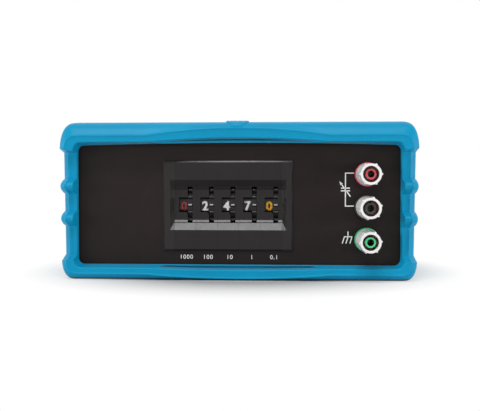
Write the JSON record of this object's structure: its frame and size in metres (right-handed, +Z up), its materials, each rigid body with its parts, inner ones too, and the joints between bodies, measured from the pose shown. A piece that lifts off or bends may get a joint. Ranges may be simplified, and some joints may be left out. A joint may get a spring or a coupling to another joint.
{
  "type": "capacitance decade box",
  "caption": "Bench decade box: black panel in a ribbed blue rubber boot, with a bank of turning thumbwheels that set capacitance and white screw terminals with plug sockets.",
  "frame": {"origin": "centre of the flat underside of the boot", "axes": "+X to the right across the panel, -Y out of the front panel, +Z up"},
  "size_m": [0.209, 0.1431, 0.0928],
  "materials": {
    "boot_rubber": "satin blue elastomer",
    "case_metal": "black coated",
    "panel_paint": "warm black matt coating",
    "bank_plastic": "fine matt dark grey moulding",
    "wheel_plastic": "black moulding",
    "wiper_bronze": "sprung bronze",
    "board_laminate": "green glass laminate",
    "capacitor_resin": "dipped resin",
    "terminal_red": "moulded",
    "terminal_black": "moulded",
    "terminal_green": "moulded",
    "knob_white": "moulded",
    "bush_plastic": "moulded",
    "lead_red": "insulated wire",
    "lead_black": "insulated wire",
    "lead_green": "insulated wire",
    "plated_brass": "nickel plated",
    "bright_steel": "zinc plated"
  },
  "bodies": {
    "box": {"rubber_boot": "boot_rubber", "case_base": "case_metal", "case_cover": "case_metal", "front_panel": "panel_paint", "rear_panel": "panel_paint", "case_screws": "bright_steel", "end_cap_left": "bank_plastic", "end_cap_right": "bank_plastic", "bank_clamps": "bright_steel", "bank_screws": "bright_steel", "tie_rods": "bright_steel", "tie_rod_nuts": "bright_steel", "switch_housing_1": "bank_plastic", "switch_housing_2": "bank_plastic", "switch_housing_3": "bank_plastic", "switch_housing_4": "bank_plastic", "switch_housing_5": "bank_plastic", "detent_spring_1": "bright_steel", "detent_spring_2": "bright_steel", "detent_spring_3": "bright_steel", "detent_spring_4": "bright_steel", "detent_spring_5": "bright_steel", "contact_boards": "board_laminate", "capacitors_1": "capacitor_resin", "capacitors_2": "capacitor_resin", "capacitors_3": "capacitor_resin", "capacitors_4": "capacitor_resin", "capacitors_5": "capacitor_resin", "bus_bars": "bright_steel", "terminal_base_red": "terminal_red", "terminal_base_black": "terminal_black", "terminal_base_green": "terminal_green", "terminal_posts": "plated_brass", "socket_ring_red": "terminal_red", "socket_ring_black": "terminal_black", "socket_ring_green": "terminal_green", "terminal_bushes": "bush_plastic", "terminal_nuts": "plated_brass", "solder_tags": "plated_brass", "lead_red": "lead_red", "lead_black": "lead_black", "lead_green": "lead_green", "earth_screw": "bright_steel"},
    "wheel_1": {"thumbwheel_1": "wheel_plastic", "wiper_1": "wiper_bronze"},
    "wheel_2": {"thumbwheel_2": "wheel_plastic", "wiper_2": "wiper_bronze"},
    "wheel_3": {"thumbwheel_3": "wheel_plastic", "wiper_3": "wiper_bronze"},
    "wheel_4": {"thumbwheel_4": "wheel_plastic", "wiper_4": "wiper_bronze"},
    "wheel_5": {"thumbwheel_5": "wheel_plastic", "wiper_5": "wiper_bronze"},
    "washer_red": {"pressure_washer_red": "plated_brass"},
    "knob_red": {"terminal_knob_red": "knob_white"},
    "washer_black": {"pressure_washer_black": "plated_brass"},
    "knob_black": {"terminal_knob_black": "knob_white"},
    "washer_green": {"pressure_washer_green": "plated_brass"},
    "knob_green": {"terminal_knob_green": "knob_white"}
  },
  "joints": [
    {"name": "wheel_1_turn", "type": "hinge", "parent": "box", "child": "wheel_1", "pos_m": [-0.0312, -0.03755, 0.0434], "axis": [1, 0, 0], "continuous": true, "deforming": ["detent_spring_1"]},
    {"name": "wheel_2_turn", "type": "hinge", "parent": "box", "child": "wheel_2", "pos_m": [-0.0185, -0.03755, 0.0434], "axis": [1, 0, 0], "continuous": true, "deforming": ["detent_spring_2"]},
    {"name": "wheel_3_turn", "type": "hinge", "parent": "box", "child": "wheel_3", "pos_m": [-0.0058, -0.03755, 0.0434], "axis": [1, 0, 0], "continuous": true, "deforming": ["detent_spring_3"]},
    {"name": "wheel_4_turn", "type": "hinge", "parent": "box", "child": "wheel_4", "pos_m": [0.0069, -0.03755, 0.0434], "axis": [1, 0, 0], "continuous": true, "deforming": ["detent_spring_4"]},
    {"name": "wheel_5_turn", "type": "hinge", "parent": "box", "child": "wheel_5", "pos_m": [0.0196, -0.03755, 0.0434], "axis": [1, 0, 0], "continuous": true, "deforming": ["detent_spring_5"]},
    {"name": "washer_red_slide", "type": "slide", "parent": "box", "child": "washer_red", "axis": [0, -1, 0], "range_m": [0, 0.005]},
    {"name": "knob_red_screw", "type": "hinge", "parent": "washer_red", "child": "knob_red", "pos_m": [0.0752, -0.05915, 0.06135], "axis": [0, -1, 0], "range_deg": [0, 1800]},
    {"name": "washer_black_slide", "type": "slide", "parent": "box", "child": "washer_black", "axis": [0, -1, 0], "range_m": [0, 0.005]},
    {"name": "knob_black_screw", "type": "hinge", "parent": "washer_black", "child": "knob_black", "pos_m": [0.0752, -0.05915, 0.0423], "axis": [0, -1, 0], "range_deg": [0, 1800]},
    {"name": "washer_green_slide", "type": "slide", "parent": "box", "child": "washer_green", "axis": [0, -1, 0], "range_m": [0, 0.005]},
    {"name": "knob_green_screw", "type": "hinge", "parent": "washer_green", "child": "knob_green", "pos_m": [0.0752, -0.05915, 0.02325], "axis": [0, -1, 0], "range_deg": [0, 1800]}
  ],
  "couplings": [
    {"joint": "knob_red_screw", "follows": "washer_red_slide", "rad_per_m": 6283.2},
    {"joint": "knob_black_screw", "follows": "washer_black_slide", "rad_per_m": 6283.2},
    {"joint": "knob_green_screw", "follows": "washer_green_slide", "rad_per_m": 6283.2}
  ]
}
